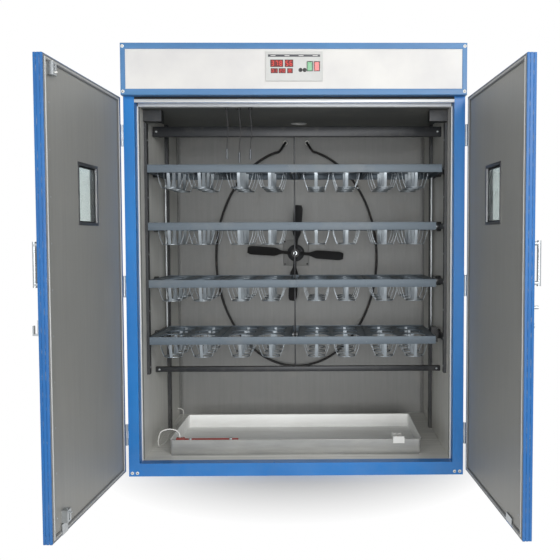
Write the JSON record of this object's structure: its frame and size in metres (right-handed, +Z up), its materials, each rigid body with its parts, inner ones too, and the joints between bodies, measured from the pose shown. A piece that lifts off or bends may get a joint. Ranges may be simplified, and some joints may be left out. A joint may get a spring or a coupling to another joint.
{
  "type": "egg incubator",
  "caption": "Free-standing cabinet egg incubator with double doors, tilting layers of large-egg trays, oval heater, fan, water pan and header control box.",
  "frame": {"origin": "centre of the cabinet's underside, on the floor", "axes": "+X to the right as seen from the doors, +Y to the back, +Z up"},
  "size_m": [1.6594, 1.5992, 1.807],
  "materials": {
    "blue_paint": "satin",
    "header_blue": "satin",
    "off_white": "satin",
    "aluminium": "satin",
    "galvanised": "satin",
    "bright_steel": "satin",
    "dark_steel": "satin",
    "stainless": "satin",
    "black_plastic": "matte",
    "grey_plastic": "matte",
    "white_plastic": "satin",
    "led_red": "gloss",
    "green_plastic": "gloss",
    "red_plastic": "gloss",
    "circuit_green": "satin",
    "gasket_rubber": "matte",
    "window_glass": "gloss",
    "copper_red": "satin",
    "heater_black": "satin"
  },
  "bodies": {
    "cabinet": {"cabinet_frame": "blue_paint", "left_wall": "aluminium", "right_wall": "aluminium", "back_wall": "aluminium", "floor_panel": "aluminium", "roof_panel": "aluminium", "ceiling_trim": "bright_steel", "header_frame": "header_blue", "header_panel": "off_white", "header_housing": "header_blue", "control_bezel": "grey_plastic", "led_windows": "led_red", "control_board": "circuit_green", "power_inlet": "black_plastic", "frame_screws": "bright_steel", "rack_frame": "dark_steel", "cross_bars": "dark_steel", "heater_ring": "heater_black", "fan_motor": "dark_steel", "water_pan": "stainless", "pan_heater": "copper_red", "float_valve": "white_plastic", "air_sensors": "white_plastic", "sensor_wires": "black_plastic", "vent_collar": "bright_steel", "cabinet_hinges": "bright_steel", "turn_motor": "black_plastic", "pan_lead": "white_plastic"},
    "fan": {"fan_blades": "dark_steel"},
    "vent_damper": {"vent_damper": "bright_steel"},
    "set_button": {"set_button": "black_plastic"},
    "reset_button": {"reset_button": "black_plastic"},
    "power_rocker": {"power_rocker": "green_plastic"},
    "alarm_rocker": {"alarm_rocker": "red_plastic"},
    "layer_1": {"layer_frame_1": "galvanised", "egg_trays_1": "galvanised"},
    "layer_2": {"layer_frame_2": "galvanised", "egg_trays_2": "galvanised"},
    "layer_3": {"layer_frame_3": "galvanised", "egg_trays_3": "galvanised"},
    "layer_4": {"layer_frame_4": "galvanised", "egg_trays_4": "galvanised"},
    "link_bars": {"link_bars": "bright_steel"},
    "left_door": {"left_door_frame": "blue_paint", "left_door_panel": "off_white", "left_door_liner": "aluminium", "left_window_frame": "dark_steel", "left_window_glass": "window_glass", "left_door_gasket": "gasket_rubber", "left_door_fittings": "bright_steel"},
    "right_door": {"right_door_frame": "blue_paint", "right_door_panel": "off_white", "right_door_liner": "aluminium", "right_window_frame": "dark_steel", "right_window_glass": "window_glass", "right_door_gasket": "gasket_rubber", "right_door_fittings": "bright_steel"},
    "latch_bar": {"latch_bar": "bright_steel"},
    "top_bolt": {"top_bolt": "white_plastic"},
    "bottom_bolt": {"bottom_bolt": "bright_steel"}
  },
  "joints": [
    {"name": "left_door_hinge", "type": "hinge", "parent": "cabinet", "child": "left_door", "pos_m": [-0.716, -0.445, 0.808], "axis": [0, 0, -1], "range_deg": [-93.2, 85]},
    {"name": "right_door_hinge", "type": "hinge", "parent": "cabinet", "child": "right_door", "pos_m": [0.716, -0.445, 0.808], "axis": [0, 0, 1], "range_deg": [-93.2, 85]},
    {"name": "layer_1_tilt", "type": "hinge", "parent": "cabinet", "child": "layer_1", "pos_m": [0, -0.1455, 1.31], "axis": [1, 0, 0], "range_deg": [-45, 45]},
    {"name": "layer_2_tilt", "type": "hinge", "parent": "cabinet", "child": "layer_2", "pos_m": [0, -0.1455, 1.061], "axis": [1, 0, 0], "range_deg": [-45, 45]},
    {"name": "layer_3_tilt", "type": "hinge", "parent": "cabinet", "child": "layer_3", "pos_m": [0, -0.1455, 0.812], "axis": [1, 0, 0], "range_deg": [-45, 45]},
    {"name": "layer_4_tilt", "type": "hinge", "parent": "cabinet", "child": "layer_4", "pos_m": [0, -0.1455, 0.563], "axis": [1, 0, 0], "range_deg": [-45, 45]},
    {"name": "link_swing", "type": "hinge", "parent": "layer_1", "child": "link_bars", "pos_m": [0, 0.0375, 1.31], "axis": [1, 0, 0], "range_deg": [-45, 45]},
    {"name": "fan_spin", "type": "hinge", "parent": "cabinet", "child": "fan", "pos_m": [-0.028, 0.3075, 0.93], "axis": [0, 1, 0], "continuous": true},
    {"name": "damper_turn", "type": "hinge", "parent": "cabinet", "child": "vent_damper", "pos_m": [0, 0.0575, 1.633], "axis": [1, 0, 0], "range_deg": [0, 90]},
    {"name": "set_button_press", "type": "slide", "parent": "cabinet", "child": "set_button", "axis": [0, 1, 0], "range_m": [0, 0.0015], "stiffness_N_per_m": 300},
    {"name": "reset_button_press", "type": "slide", "parent": "cabinet", "child": "reset_button", "axis": [0, 1, 0], "range_m": [0, 0.0015], "stiffness_N_per_m": 300},
    {"name": "power_rocker_tip", "type": "hinge", "parent": "cabinet", "child": "power_rocker", "pos_m": [0.064, -0.479, 1.711], "axis": [1, 0, 0], "range_deg": [-16, 0]},
    {"name": "alarm_rocker_tip", "type": "hinge", "parent": "cabinet", "child": "alarm_rocker", "pos_m": [0.093, -0.479, 1.711], "axis": [1, 0, 0], "range_deg": [-16, 0]},
    {"name": "latch_turn", "type": "hinge", "parent": "right_door", "child": "latch_bar", "pos_m": [0.79694, -1.0955, 0.72], "axis": [-0.9984, -0.0558, 0], "range_deg": [-90, 0]},
    {"name": "top_bolt_slide", "type": "slide", "parent": "left_door", "child": "top_bolt", "axis": [0, 0, 1], "range_m": [0, 0.016]},
    {"name": "bottom_bolt_slide", "type": "slide", "parent": "left_door", "child": "bottom_bolt", "axis": [0, 0, -1], "range_m": [0, 0.016]}
  ],
  "couplings": [
    {"joint": "layer_2_tilt", "follows": "layer_1_tilt", "ratio": 1},
    {"joint": "layer_3_tilt", "follows": "layer_1_tilt", "ratio": 1},
    {"joint": "layer_4_tilt", "follows": "layer_1_tilt", "ratio": 1},
    {"joint": "link_swing", "follows": "layer_1_tilt", "ratio": -1}
  ]
}
